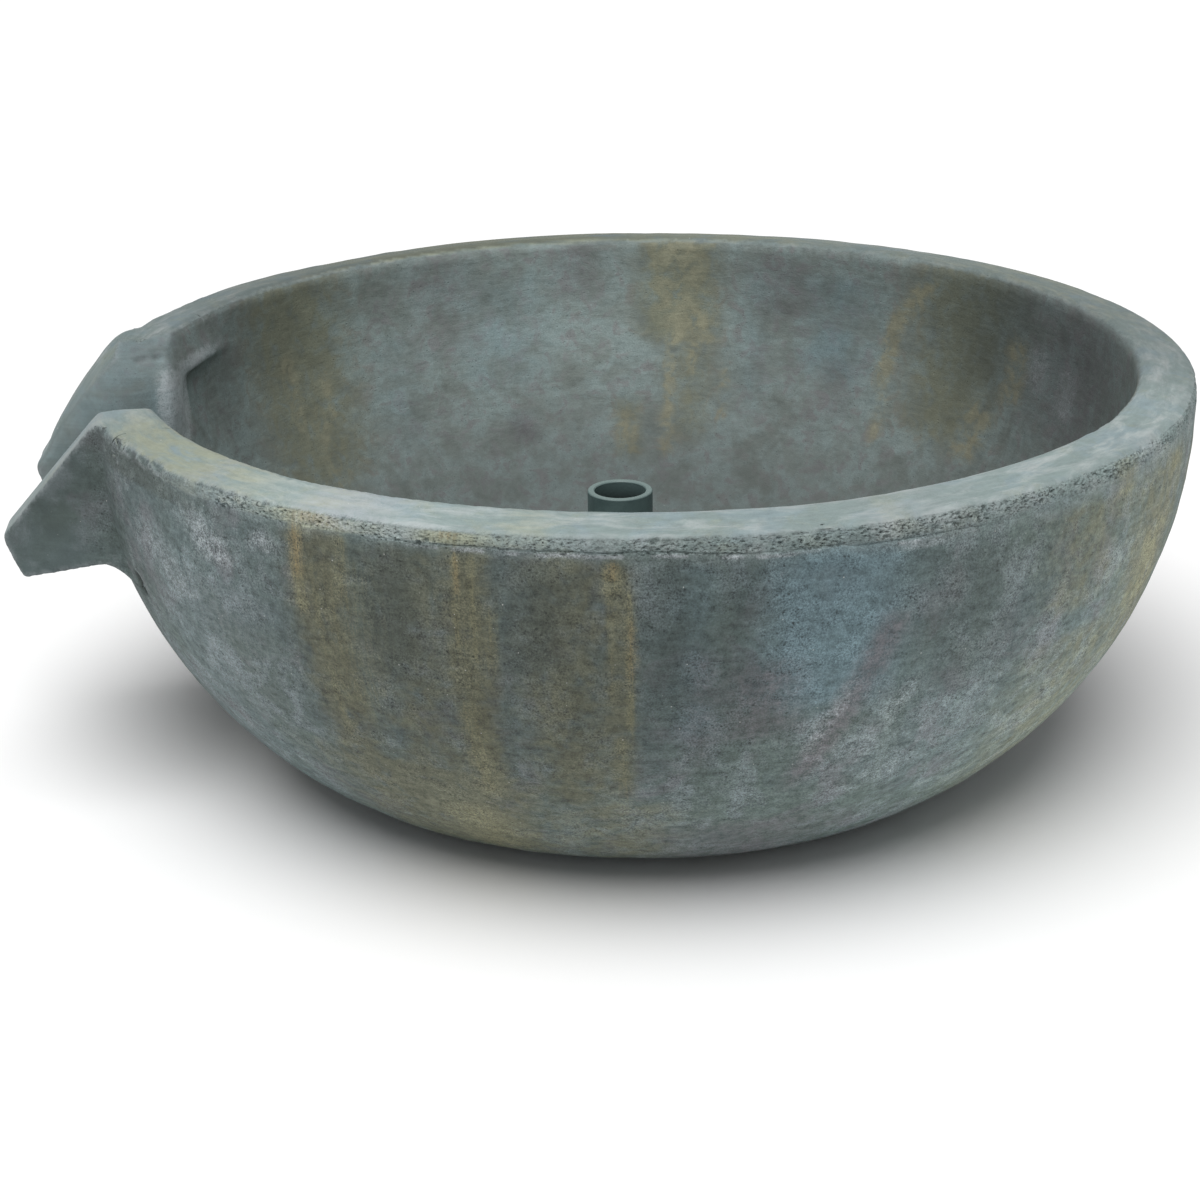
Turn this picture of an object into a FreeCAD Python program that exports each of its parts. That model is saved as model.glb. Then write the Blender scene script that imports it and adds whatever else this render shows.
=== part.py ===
import FreeCAD, Part
import math
import os

V = FreeCAD.Vector

# Sizes in millimetres. Z is up, the base stands on z = 0, the bowl's axis is the Z axis
# and the spout points along -X.

# Bowl
rim_radius = 393.7
bowl_height = 291.2
base_radius = 213.0
base_corner_radius = 110.2
widest_depth = 24.5
rim_width = 40.3
rim_fall = 5.2
rim_inside_depth = 35.0
wall_thickness = 42.0
floor_thickness = 56.0
rim_edge_radius = 8.0
seam_depth = 12.0
seam_size = 1.6

# Spout, seen from above and from the side; drops are measured down from the rim's outer edge
lip_overhang = 57.5
lip_half_width = 94.0
lip_drop = 86.0
lip_thickness = 32.0
lip_undercut = 13.0
lip_corner_radius = 9.0
lip_top_radius = 8.0
lip_bottom_radius = 4.0
root_half_width = 116.0
root_setback = 15.5
crest_radius = 24.0
root_blend_radius = 24.0
foot_blend_radius = 40.0
underside_rise = 14.0
underside_blend = 20.0

# Water channel through the spout
channel_drop_inside = 79.0
channel_depth_at_lip = 15.0
channel_half_width = 62.0
channel_side_lean = 0.2
channel_mouth_flare = 10.0
channel_mouth_length = 22.0
channel_corner_inside = 22.0
channel_corner_at_lip = 7.0
shoulder_inside = 50.0
shoulder_at_lip = 6.0
shoulder_overrun = 0.5
channel_overrun = 6.0

# Seating of the spout in the bowl wall
notch_side_margin = 8.0
notch_floor_margin = 8.0
notch_back_margin = 20.0
bedding_thickness = 3.0
dowel_radius = 4.0
dowel_length = 44.0
dowel_drop = 75.0

# Water inlet
inlet_offset = 15.0
pipe_radius = 24.13
pipe_wall = 5.08
pipe_top_drop = 104.5
pipe_edge = 0.8
socket_clearance = 0.12
upper_socket_depth = 35.0
lower_socket_depth = 26.0
socket_stop = 3.0
flange_radius = 52.0
flange_thickness = 10.0
flange_edge = 2.5
barrel_radius = 36.5
barrel_clearance = 1.5
gasket_thickness = 3.0
sealant_width = 7.0
washer_thickness = 2.5
washer_radius = 56.0
locknut_across_flats = 98.0
locknut_height = 14.0
locknut_corner_height = 3.8
recess_radius = 84.0
recess_depth = 31.0


def line(start, end):
    return Part.LineSegment(start, end).toShape()


def arc(start, middle, end):
    return Part.Arc(start, middle, end).toShape()


def midpoint(one, other):
    return (one + other) * 0.5


def rounded_path(points, radii):
    """Edges through the points, with an arc of the given radius at each inner point that has one."""
    edges = []
    last = points[0]
    for index in range(1, len(points) - 1):
        corner = points[index]
        radius = radii[index]
        if radius == 0:
            edges.append(line(last, corner))
            last = corner
            continue
        back = (points[index - 1] - corner).normalize()
        ahead = (points[index + 1] - corner).normalize()
        half_angle = back.getAngle(ahead) / 2
        cut = radius / math.tan(half_angle)
        gap = radius / math.sin(half_angle) - radius
        arc_start = corner + back * cut
        arc_end = corner + ahead * cut
        edges.append(line(last, arc_start))
        edges.append(arc(arc_start, corner + (back + ahead).normalize() * gap, arc_end))
        last = arc_end
    edges.append(line(last, points[-1]))
    return edges


def rounded_wire(points, radii):
    return Part.Wire(rounded_path(points + points[:1], radii))


def revolve(edges):
    return Part.Face(Part.Wire(edges)).revolve(V(0, 0, 0), V(0, 0, 1), 360)


def in_profile(radius, height):
    return V(radius, 0, height)


def on_circle(centre, radius, angle):
    """Point of a circle in the profile plane, with the angle measured down from level."""
    return centre + in_profile(radius * math.cos(angle), -radius * math.sin(angle))


def from_rim(out, side, up):
    """Point given by its distance out along the spout, to its side, and up from the rim's outer edge."""
    return V(-out, side, rim_height + up)


# The rim is highest at its inner edge and falls outwards
rim_height = bowl_height - rim_fall
inner_rim_radius = rim_radius - rim_width


def rim_rise(radius):
    """Height of the rim's sloping top above its outer edge."""
    return rim_fall * (rim_radius - radius) / rim_width


# Outside of the bowl: a side arc that is vertical below the rim, and a base arc that is level at the base
spread = rim_radius - base_radius
rise = rim_height - widest_depth - base_corner_radius
side_radius = (spread**2 + rise**2 - base_corner_radius**2) / (2 * (spread - base_corner_radius))
side_centre = in_profile(rim_radius - side_radius, rim_height - widest_depth)


def wall_radius(drop, inset=0):
    """Radius of the bowl wall at a drop below the rim, at a depth in from its outside."""
    return side_centre.x + math.sqrt((side_radius - inset) ** 2 - (drop - widest_depth) ** 2)


def wall_arcs(side_arc, corner_arc, foot_height, start_angle):
    """Side and corner arcs of a wall, from start_angle down to a level foot, with both ends."""
    drop = side_centre.z - corner_arc - foot_height
    joint_angle = math.asin(drop / (side_arc - corner_arc))
    top = on_circle(side_centre, side_arc, start_angle)
    side_middle = on_circle(side_centre, side_arc, (start_angle + joint_angle) / 2)
    joint = on_circle(side_centre, side_arc, joint_angle)
    corner_centre = on_circle(side_centre, side_arc - corner_arc, joint_angle)
    corner_middle = on_circle(corner_centre, corner_arc, (joint_angle + math.pi / 2) / 2)
    foot = on_circle(corner_centre, corner_arc, math.pi / 2)
    return [arc(top, side_middle, joint), arc(joint, corner_middle, foot)], top, foot


def bowl_outside():
    edges, widest, foot = wall_arcs(side_radius, base_corner_radius, 0, 0)
    inner_edge = in_profile(inner_rim_radius, bowl_height)
    outer_edge = in_profile(rim_radius, rim_height)
    rest = [foot, V(0, 0, 0), in_profile(0, bowl_height), inner_edge, outer_edge, widest]
    return revolve(edges + rounded_path(rest, [0, 0, 0, 0, rim_edge_radius, 0]))


def bowl_inside():
    inner_side = side_radius - wall_thickness
    inner_corner = base_corner_radius - wall_thickness
    start_angle = math.asin((rim_inside_depth - widest_depth) / inner_side)
    edges, wall_top, foot = wall_arcs(inner_side, inner_corner, floor_thickness, start_angle)
    above = bowl_height + rim_width
    flare = inner_rim_radius + 2 * rim_edge_radius
    rest = [
        foot,
        in_profile(0, floor_thickness),
        in_profile(0, above),
        in_profile(flare, above),
        in_profile(flare, rim_height + rim_rise(flare)),
        in_profile(inner_rim_radius, bowl_height),
        wall_top,
    ]
    return revolve(edges + rounded_path(rest, [0, 0, 0, 0, 0, rim_edge_radius, 0]))


def seam_groove():
    """Fine mould seam around the outside of the rim."""
    seam_height = rim_height - seam_depth
    bottom = in_profile(rim_radius - seam_size, seam_height)
    low = in_profile(rim_radius + seam_size, seam_height - 2 * seam_size)
    high = in_profile(rim_radius + seam_size, seam_height + 2 * seam_size)
    return revolve([line(bottom, low), line(low, high), line(high, bottom)])


# Main lines of the spout
lip_out = rim_radius + lip_overhang
root_out = rim_radius - root_setback
lip_bottom_drop = lip_drop + math.sqrt(lip_thickness**2 - lip_undercut**2)
underside_drop = lip_bottom_drop - underside_rise
spout_foot_drop = underside_drop + underside_blend
notch_drop = spout_foot_drop + notch_floor_margin
cheek_slope = lip_drop / (lip_out - root_out)


def plan_points(circle_radius, blend_radius):
    """One side of the spout's plan: where its blend leaves the bowl, the blend's middle and its end."""
    along = V(lip_out - root_out, lip_half_width - root_half_width, 0).normalize()
    away = V(-along.y, along.x, 0)
    root = V(root_out, root_half_width, 0)
    offset = root + away * blend_radius
    reach = circle_radius + blend_radius
    half = offset.dot(along)
    advance = math.sqrt(half**2 - offset.dot(offset) + reach**2) - half
    centre = offset + along * advance
    blend_end = root + along * advance
    on_bowl = centre * (circle_radius / reach)
    middle_way = (blend_end - centre).normalize() + (on_bowl - centre).normalize()
    return on_bowl, centre + middle_way.normalize() * blend_radius, blend_end


# The seat in the wall takes in the whole root of the spout and reaches through the wall at its lower corners
widest_root = plan_points(rim_radius, root_blend_radius)[0].y
widest_foot = plan_points(wall_radius(spout_foot_drop), foot_blend_radius)[0].y
notch_half_width = max(widest_root, widest_foot) + notch_side_margin
wall_inside = wall_radius(notch_drop, wall_thickness)
spout_back = math.sqrt(wall_inside**2 - notch_half_width**2) - notch_back_margin
back_rise = rim_rise(spout_back) - rim_rise(root_out)


def plan_wire(drop, circle_radius, blend_radius):
    on_bowl, middle, blend_end = plan_points(circle_radius, blend_radius)

    def place(point, mirror):
        return from_rim(point.x, point.y * mirror, -drop)

    lip = V(lip_out, lip_half_width, 0)
    back = V(spout_back, on_bowl.y, 0)
    front = [place(blend_end, 1), place(lip, 1), place(lip, -1), place(blend_end, -1)]
    edges = rounded_path(front, [0, lip_corner_radius, lip_corner_radius, 0])
    for mirror in (1, -1):
        edges.append(arc(place(blend_end, mirror), place(middle, mirror), place(on_bowl, mirror)))
        edges.append(line(place(on_bowl, mirror), place(back, mirror)))
    edges.append(line(place(back, 1), place(back, -1)))
    return Part.Wire(Part.sortEdges(edges)[0])


def spout_plan():
    """Block with the spout's plan, its sides blended into the bowl wall all the way down."""
    top = plan_wire(0, rim_radius, root_blend_radius)
    foot = plan_wire(spout_foot_drop, wall_radius(spout_foot_drop), foot_blend_radius)
    return Part.makeLoft([top, foot], True, True)


def side_block(outline, radii):
    """Block with a side view given as distances out and up from the rim's outer edge."""
    points = [from_rim(out, -rim_radius, up) for out, up in outline]
    return Part.Face(rounded_wire(points, radii)).extrude(V(0, 2 * rim_radius, 0))


def below_spout_top():
    """Side view of the spout: rim, rounded crest, sloping cheeks, undercut lip and underside."""
    outline = [
        (spout_back, back_rise),
        (root_out, 0),
        (lip_out, -lip_drop),
        (lip_out - lip_undercut, -lip_bottom_drop),
        (root_out, -underside_drop),
        (spout_back, -underside_drop),
    ]
    return side_block(outline, [0, crest_radius, lip_top_radius, lip_bottom_radius, 0, 0])


def above_spout_top():
    """What is taken off the bowl's rim where the cheeks slope down from it."""
    far_out = lip_out + lip_overhang
    high = rim_rise(0)
    outline = [
        (spout_back, back_rise),
        (root_out, 0),
        (far_out, -cheek_slope * (far_out - root_out)),
        (far_out, high),
        (spout_back, high),
    ]
    return side_block(outline, [0, crest_radius, 0, 0, 0])


def above_rim():
    """What lies above the rim's slope, so that the spout's root keeps to it."""
    centre_top = in_profile(0, rim_height + rim_rise(0))
    far_edge = in_profile(lip_out, rim_height + rim_rise(lip_out))
    far_top = in_profile(lip_out, centre_top.z)
    return revolve([line(centre_top, far_edge), line(far_edge, far_top), line(far_top, centre_top)])


def underside_ring():
    """Hollow curve that carries the spout's underside down into the bowl wall."""
    start = in_profile(wall_radius(underside_drop) + underside_blend, rim_height - underside_drop)
    foot = in_profile(wall_radius(spout_foot_drop), rim_height - spout_foot_drop)
    back_foot = in_profile(spout_back, foot.z)
    back_top = in_profile(spout_back, start.z + underside_blend)
    top = in_profile(start.x, start.z + underside_blend)
    corner = in_profile(wall_radius(underside_drop), start.z)
    middle = midpoint(midpoint(start, foot), corner)
    edges = [arc(start, middle, foot), line(foot, back_foot), line(back_foot, back_top)]
    return revolve(edges + [line(back_top, top), line(top, start)])


def channel_section(out, widen, top_drop, floor_drop, corner_radius, shoulder_radius):
    """Section of the channel: level floor, leaning sides, rounded corners and rounded shoulders."""
    brim_height = shoulder_overrun - top_drop
    brim = channel_half_width + widen
    corner = brim - channel_side_lean * (brim_height + floor_drop)
    lean_angle = math.atan(channel_side_lean)
    shoulder = brim + shoulder_radius * math.tan((math.pi / 2 - lean_angle) / 2) + shoulder_overrun
    right = [(shoulder, rim_width), (shoulder, brim_height), (brim, brim_height), (corner, -floor_drop)]
    left = [(-side, up) for side, up in reversed(right)]
    points = [from_rim(out, side, up) for side, up in right + left]
    radii = [0, 0, shoulder_radius, corner_radius, corner_radius, shoulder_radius, 0, 0]
    return rounded_wire(points, radii)


def channel():
    floor_slope = (lip_drop + channel_depth_at_lip - channel_drop_inside) / (lip_out - inner_rim_radius)
    floor_at_root = channel_drop_inside + floor_slope * (root_out - inner_rim_radius)
    past_lip = lip_out + channel_overrun
    share = (past_lip - root_out) / (lip_out - root_out)
    mouth_drop = channel_drop_inside + channel_mouth_flare
    mouth_out = inner_rim_radius - channel_mouth_length / 2
    throat_out = inner_rim_radius + channel_mouth_length / 2
    inside_radii = (channel_corner_inside, shoulder_inside)
    end_radii = (
        channel_corner_inside + (channel_corner_at_lip - channel_corner_inside) * share,
        shoulder_inside + (shoulder_at_lip - shoulder_inside) * share,
    )
    end_floor = floor_at_root + floor_slope * (past_lip - root_out)

    def brim_drop(out):
        return -max(0, rim_rise(math.hypot(out, channel_half_width + shoulder_inside)))

    sections = [
        channel_section(spout_back, channel_mouth_flare, brim_drop(mouth_out), mouth_drop, *inside_radii),
        channel_section(mouth_out, channel_mouth_flare, brim_drop(mouth_out), mouth_drop, *inside_radii),
        channel_section(throat_out, 0, brim_drop(throat_out), channel_drop_inside, *inside_radii),
        channel_section(root_out, 0, brim_drop(root_out), floor_at_root, *inside_radii),
        channel_section(past_lip, 0, lip_drop * share, end_floor, *end_radii),
    ]
    return Part.makeLoft(sections, True, True)


def notch(inset):
    """Block that takes the spout's seat out of the bowl wall, drawn in by inset on sides and floor."""
    half_width = notch_half_width - inset
    height = notch_drop - inset
    far_out = lip_out + lip_overhang
    corner = from_rim(far_out, -half_width, -height)
    return Part.makeBox(far_out - spout_back, 2 * half_width, height + rim_rise(0), corner)


def spout_dowels():
    """One pin through each side joint, in the middle of the wall."""
    out = math.sqrt(wall_radius(dowel_drop, wall_thickness / 2) ** 2 - notch_half_width**2)
    pins = []
    for direction in (1, -1):
        start = from_rim(out, direction * (notch_half_width - dowel_length / 2), -dowel_drop)
        pins.append(Part.makeCylinder(dowel_radius, dowel_length, start, V(0, direction, 0)))
    return Part.makeCompound(pins)


# Heights of the inlet fitting, clamped through the bowl floor
flange_foot = floor_thickness + gasket_thickness
flange_top = flange_foot + flange_thickness
socket_floor = flange_top - upper_socket_depth
body_foot = socket_floor - socket_stop - lower_socket_depth
washer_foot = recess_depth - washer_thickness
locknut_foot = washer_foot - locknut_height
pipe_top = rim_height - pipe_top_drop
bore_radius = pipe_radius - pipe_wall
socket_radius = pipe_radius + socket_clearance


def inlet_rod(radius, foot, top):
    return Part.makeCylinder(radius, top - foot, V(-inlet_offset, 0, foot))


def inlet_ring(outer, inner, foot, top):
    return inlet_rod(outer, foot, top).cut(inlet_rod(inner, foot, top))


def top_edges(shape, height):
    """Level edges of a turned piece at its top."""
    return [edge for edge in shape.Edges if math.isclose(edge.CenterOfMass.z, height)]


def standpipe():
    pipe = inlet_ring(pipe_radius, bore_radius, socket_floor, pipe_top)
    return pipe.makeChamfer(pipe_edge, top_edges(pipe, pipe_top))


def bulkhead_body():
    flange = inlet_rod(flange_radius, flange_foot, flange_top)
    flange = flange.makeFillet(flange_edge, top_edges(flange, flange_top))
    body = flange.fuse(inlet_rod(barrel_radius, body_foot, flange_foot))
    body = body.cut(inlet_rod(bore_radius, body_foot, flange_top))
    body = body.cut(inlet_rod(socket_radius, socket_floor, flange_top))
    body = body.cut(inlet_rod(socket_radius, body_foot, body_foot + lower_socket_depth))
    return body.removeSplitter()


def flange_sealant():
    """Bead of sealant around the flange on the bowl floor."""
    heel = in_profile(flange_radius, floor_thickness)
    toe = in_profile(flange_radius + sealant_width, floor_thickness)
    top = in_profile(flange_radius, floor_thickness + sealant_width)
    bead = revolve([line(heel, toe), line(toe, top), line(top, heel)])
    bead.translate(V(-inlet_offset, 0, 0))
    return bead


def locknut():
    """Hexagon nut with its lower corners turned down to a cone."""
    centre = V(-inlet_offset, 0, locknut_foot)
    half_flats = locknut_across_flats / 2
    corner_radius = locknut_across_flats / math.sqrt(3)
    corners = []
    for step in range(6):
        angle = step * math.pi / 3
        corners.append(centre + V(math.cos(angle), math.sin(angle), 0) * corner_radius)
    nut = Part.Face(Part.makePolygon(corners + corners[:1])).extrude(V(0, 0, locknut_height))
    cone_slope = (corner_radius - half_flats) / locknut_corner_height
    cone_top = half_flats + cone_slope * locknut_height
    cone = Part.makeCone(half_flats, cone_top, locknut_height, centre)
    return nut.common(cone).cut(inlet_rod(barrel_radius, locknut_foot, washer_foot))


# Concrete
inside = bowl_inside()
wall = bowl_outside().cut(inside).cut(seam_groove())
dowels = spout_dowels()

bowl_shell = wall.cut(notch(0)).cut(dowels)
bowl_shell = bowl_shell.cut(inlet_rod(recess_radius, 0, recess_depth))
bowl_shell = bowl_shell.cut(inlet_rod(barrel_radius + barrel_clearance, recess_depth, floor_thickness))

plan_block = spout_plan()
spout_body = plan_block.common(below_spout_top().fuse(underside_ring())).cut(above_rim()).cut(inside)
spout = wall.common(notch(bedding_thickness)).cut(above_spout_top().common(plan_block))
spout = spout.fuse(spout_body).removeSplitter().cut(channel()).cut(dowels)

spout_bedding = wall.common(notch(0)).cut(notch(bedding_thickness)).cut(dowels)

parts = {
    "bowl_shell": bowl_shell,
    "spout": spout,
    "spout_bedding": spout_bedding,
    "spout_dowels": dowels,
    "standpipe": standpipe(),
    "bulkhead_body": bulkhead_body(),
    "flange_gasket": inlet_ring(flange_radius, barrel_radius, floor_thickness, flange_foot),
    "flange_sealant": flange_sealant(),
    "thrust_washer": inlet_ring(washer_radius, barrel_radius, washer_foot, recess_depth),
    "locknut": locknut(),
}

os.makedirs("parts", exist_ok=True)
for name, shape in parts.items():
    shape.exportStep("parts/" + name + ".step")
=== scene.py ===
import math
import random

import bmesh
import bpy
import numpy as np
from mathutils import Matrix, Quaternion, Vector, kdtree, noise
from mathutils.bvhtree import BVHTree


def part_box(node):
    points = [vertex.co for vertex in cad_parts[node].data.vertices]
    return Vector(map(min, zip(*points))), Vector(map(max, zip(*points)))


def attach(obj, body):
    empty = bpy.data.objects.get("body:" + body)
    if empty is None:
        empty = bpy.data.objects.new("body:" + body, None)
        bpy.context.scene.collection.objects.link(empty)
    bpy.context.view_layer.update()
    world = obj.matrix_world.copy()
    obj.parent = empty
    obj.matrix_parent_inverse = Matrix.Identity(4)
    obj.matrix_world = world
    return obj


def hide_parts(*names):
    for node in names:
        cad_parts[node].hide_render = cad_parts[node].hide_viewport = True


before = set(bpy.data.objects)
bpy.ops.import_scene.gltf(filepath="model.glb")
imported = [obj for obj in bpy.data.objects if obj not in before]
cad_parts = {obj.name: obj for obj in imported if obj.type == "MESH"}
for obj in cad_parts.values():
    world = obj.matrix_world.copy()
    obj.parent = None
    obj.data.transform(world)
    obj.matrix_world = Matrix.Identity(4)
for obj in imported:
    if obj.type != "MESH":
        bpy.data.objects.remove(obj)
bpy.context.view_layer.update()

# Sizes in metres, angles in degrees around the bowl's axis: -90 faces the camera, 180 is the spout.
# Drops are measured down from the rim's outer edge, which lies lower than its inner edge.
# "Out" is toward the spout from the axis, "side" is off the spout's middle, positive on the far side.
# A pair is where a fade starts and ends. Four values are where it starts, is full, is last full and ends.
bowl_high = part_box("bowl_shell")[1]
spout_low, spout_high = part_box("spout")
joint_low, joint_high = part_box("spout_bedding")
rim_radius = bowl_high.y
rim_width = 0.0403
rim_edge_height = 0.286
bedding_thickness = joint_high.y - spout_high.y
tiny = 1e-6
mm_per_metre = 1000.0

# Meshing of the castings
bowl_voxel = 0.006
spout_voxel = 0.002
smooth_rounds = 3
edge_rounds = 3
edge_share = 0.5
joint_back_margin = 0.010
joint_reach = 0.009
crop_margin = 0.030
sharp_angle = 50.0
spout_side_angle = 157.0

# Unevenness of hand-pressed concrete, wavelength and depth: all over, and on the rough rim band
swells = ((0.160, 0.0012), (0.045, 0.0007), (0.018, 0.0004))
band_swells = ((0.012, 0.0008), (0.004, 0.0006))
proud_share = 0.42
level_foot = 0.004

# Rough band between the rim's outer edge and the mould seam
band_inset = 0.009
band_start = 0.0035
band_full = 0.0014
band_ends = (150.0, 138.0)
band_above = 0.002
band_below = 0.024
band_fade = 0.010
band_foot = (-0.001, 0.003)
low_seam = (0.010, 0.018)

# Mould seam: its drop by angle, its groove, the ridge under it, and the CAD groove that it takes over
seam_drops = (
    (-180, 0.012),
    (-130, 0.009),
    (-100, 0.0085),
    (-80, 0.012),
    (-45, 0.018),
    (0, 0.016),
    (180, 0.012),
)
seam_wander = 0.0016
wander_wavelength = 0.08
seam_width = 0.0010
seam_depth = 0.0011
seam_middle = -91.0
seam_fade = (20.0, 31.0)
ridge_height = 0.0007
ridge_drop = 0.0021
ridge_width = 0.0013
ridge_wavelength = 0.05
ridge_gaps = (0.36, 0.56)
groove_drops = (0.0078, 0.0165)
groove_reach = 0.003

# Ledge inside the rim on both sides of the spout, which turns down beside the channel's mouth
ledge_start = -0.004
ledge_drop = 0.028
ledge_foot = 0.009
ledge_bend = 0.014
ledge_facing = (0.3, 0.7)
ledge_angles = (166.0, -166.0)
ledge_fade = (5.7, 19.0)
ledge_overhang = 0.006
ledge_depths = (0.8 * rim_width, 1.4 * rim_width)
ledge_drops = (-0.006, 0.036)
mouth_side = 0.088
mouth_drops = (0.045, 0.085)

# Rounding where the channel opens into the bowl
mouth_out = (0.318, 0.330, 0.366, 0.378)
mouth_sides = (0.020, 0.045, 0.092, 0.108)
mouth_heights = (-0.004, 0.006, 0.085, 0.100)
mouth_rounds = 45
mouth_share = 0.6

# Hand-finished far cheek of the spout: its crest stands higher and its lip ends shorter than drawn
crest_out = (0.366, 0.440)
crest_rise = (0.366, 0.378)
crest_up = np.array((-0.735, 0.0, 0.678))
crest_facing = (0.70, 0.95)
crest_sides = (0.045, 0.070)
far_crest_lift = 0.005
far_crest_skew = 0.75
far_crest_sides = (0.108, 0.134)
far_crest_facing = (0.2, 0.9)
far_lip_short = 0.004
far_lip_out = (0.425, 0.448)
far_lip_sides = (0.010, 0.085)

# Hollow left under the spout's root, written as the patina runs are; it is pressed in and darkened with
# painted shade
root_hollow = (-158.5, 0.9, 100, 117, 100)
root_hollow_depth = 0.004

# Air holes in the rim band, and on the rounded shoulder of the channel's far side
pit_seed = 11
pit_near = 0.003
pit_flatness = 1.7
small_pit_bias = 3
band_pits = 1500
band_pit_radii = (0.0008, 0.0024)
band_pit_depth = 0.9
band_pit_drops = (0.0020, 0.0110)
crowd_frequency = 6.0
crowd_spread = 0.5
cheek_pits = 34
cheek_pit_radii = (0.0030, 0.0062)
cheek_pit_depth = 0.40
cheek_pit_turns = (8.0, 48.0)
cheek_pit_out = (0.350, 0.392)
shoulder_radius = 0.050
shoulder_side = 0.112

# Camera fitted to the photograph
camera_position = Vector((-0.19269, -1.61600, 0.73839))
camera_direction = Vector((0.092454, 0.924939, -0.368702))
camera_roll = 0.84
camera_lens = 69.5


def add_object(name, data):
    made = bpy.data.objects.new(name, data)
    bpy.context.scene.collection.objects.link(made)
    return made


def evaluated(carrier):
    """Turns an object into its mesh with the modifiers applied."""
    graph = bpy.context.evaluated_depsgraph_get()
    mesh = bpy.data.meshes.new_from_object(carrier.evaluated_get(graph))
    bpy.data.objects.remove(carrier)
    return mesh


def mesh_of(builder, name):
    mesh = bpy.data.meshes.new(name)
    builder.to_mesh(mesh)
    builder.free()
    return mesh


def joined_nodes(*names):
    """One mesh with the surfaces of several nodes."""
    builder = bmesh.new()
    for name in names:
        builder.from_mesh(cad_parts[name].data)
    bmesh.ops.remove_doubles(builder, verts=builder.verts, dist=tiny)
    return mesh_of(builder, "joined")


def block(low, high):
    builder = bmesh.new()
    place = Matrix.Translation((low + high) / 2) @ Matrix.Diagonal((*(high - low), 1))
    bmesh.ops.create_cube(builder, size=1, matrix=place)
    return mesh_of(builder, "block")


def combined(mesh, cutter, operation):
    """The mesh cut by, or cut down to, another closed mesh."""
    carrier = add_object("carrier", mesh)
    tool = add_object("tool", cutter)
    step = carrier.modifiers.new("combine", "BOOLEAN")
    step.operation = operation
    step.solver = "MANIFOLD"
    step.object = tool
    result = evaluated(carrier)
    bpy.data.objects.remove(tool)
    return result


def remeshed(mesh, voxel):
    carrier = add_object("carrier", mesh)
    step = carrier.modifiers.new("voxels", "REMESH")
    step.mode = "VOXEL"
    step.voxel_size = voxel
    smooth = carrier.modifiers.new("smooth", "SMOOTH")
    smooth.iterations = smooth_rounds
    return evaluated(carrier)


def arrays(mesh):
    """Positions and normals of a mesh's vertices."""
    count = len(mesh.vertices)
    places = np.empty(count * 3)
    normals = np.empty(count * 3)
    mesh.vertices.foreach_get("co", places)
    mesh.vertices.foreach_get("normal", normals)
    return places.reshape(-1, 3), normals.reshape(-1, 3)


def set_places(mesh, places):
    mesh.vertices.foreach_set("co", places.astype(np.float32).ravel())
    mesh.update()


def polar(places):
    """Angle, radius and drop of each place."""
    angles = np.degrees(np.arctan2(places[:, 1], places[:, 0]))
    return angles, np.hypot(places[:, 0], places[:, 1]), rim_edge_height - places[:, 2]


def angle_from(angles, middle):
    return (angles - middle + 180.0) % 360.0 - 180.0


def outwardness(places, normals):
    """1 where the surface faces away from the bowl's axis, -1 where it faces it."""
    along = normals[:, 0] * places[:, 0] + normals[:, 1] * places[:, 1]
    return along / np.maximum(np.hypot(places[:, 0], places[:, 1]), tiny)


def noise_at(places, wavelength):
    """Smooth noise between 0 and 1 at each place."""
    values = [noise.noise(Vector(place) / wavelength) for place in places]
    return np.clip(0.5 + np.array(values), 0.0, 1.0)


def ring_noise(angles, wavelength):
    """Smooth noise between 0 and 1 along a circle of radius 1."""
    around = np.radians(angles)
    circle = np.column_stack((np.cos(around), np.sin(around), np.zeros(len(angles))))
    return noise_at(circle, wavelength)


def smoothstep(low, high, values):
    share = np.clip((values - low) / (high - low), 0.0, 1.0)
    return share * share * (3.0 - 2.0 * share)


def within(values, start, full, last, end):
    """1 from full to last, fading to 0 at start and end."""
    return smoothstep(start, full, values) * (1.0 - smoothstep(last, end, values))


def kd_tree(places):
    tree = kdtree.KDTree(len(places))
    for index, place in enumerate(places):
        tree.insert(place, index)
    tree.balance()
    return tree


def seam_drop(angles):
    """Drop of the mould seam, which wanders and runs lower to the right of the front."""
    stations, drops = zip(*seam_drops)
    wander = seam_wander * (ring_noise(angles, wander_wavelength) - 0.5)
    return np.interp(angles, stations, drops) + wander


def snap(mesh, surface):
    """Moves the vertices onto the CAD surface, and over its seam groove, which press_seam makes anew."""
    places = arrays(mesh)[0]
    for index, place in enumerate(places):
        places[index] = surface.find_nearest(Vector(place))[0]
    angles, radius, drops = polar(places)
    groove = (radius > rim_radius - groove_reach) & (radius < rim_radius)
    groove &= (np.abs(angles) < spout_side_angle) & (drops > groove_drops[0]) & (drops < groove_drops[1])
    places[groove, :2] *= (rim_radius / radius[groove])[:, None]
    set_places(mesh, places)


def refine(mesh, chosen):
    """Splits the faces for which chosen(centres) is true into four."""
    builder = bmesh.new()
    builder.from_mesh(mesh)
    centres = np.array([face.calc_center_median() for face in builder.faces])
    edges = set()
    for face, wanted in zip(builder.faces, chosen(centres)):
        if wanted:
            edges.update(face.edges)
    bmesh.ops.subdivide_edges(builder, edges=list(edges), cuts=1, smooth=1.0, use_grid_fill=True)
    builder.to_mesh(mesh)
    builder.free()


def on_band(centres):
    radius, drops = polar(centres)[1:]
    return (radius > rim_radius - band_inset) & (drops > -band_above) & (drops < band_below)


def on_seam(centres):
    angles, radius, drops = polar(centres)
    below = drops - seam_drop(angles)
    at_seam = (below > -2 * seam_width) & (below < ridge_drop + ridge_width)
    return at_seam & (radius > rim_radius - band_inset)


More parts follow.
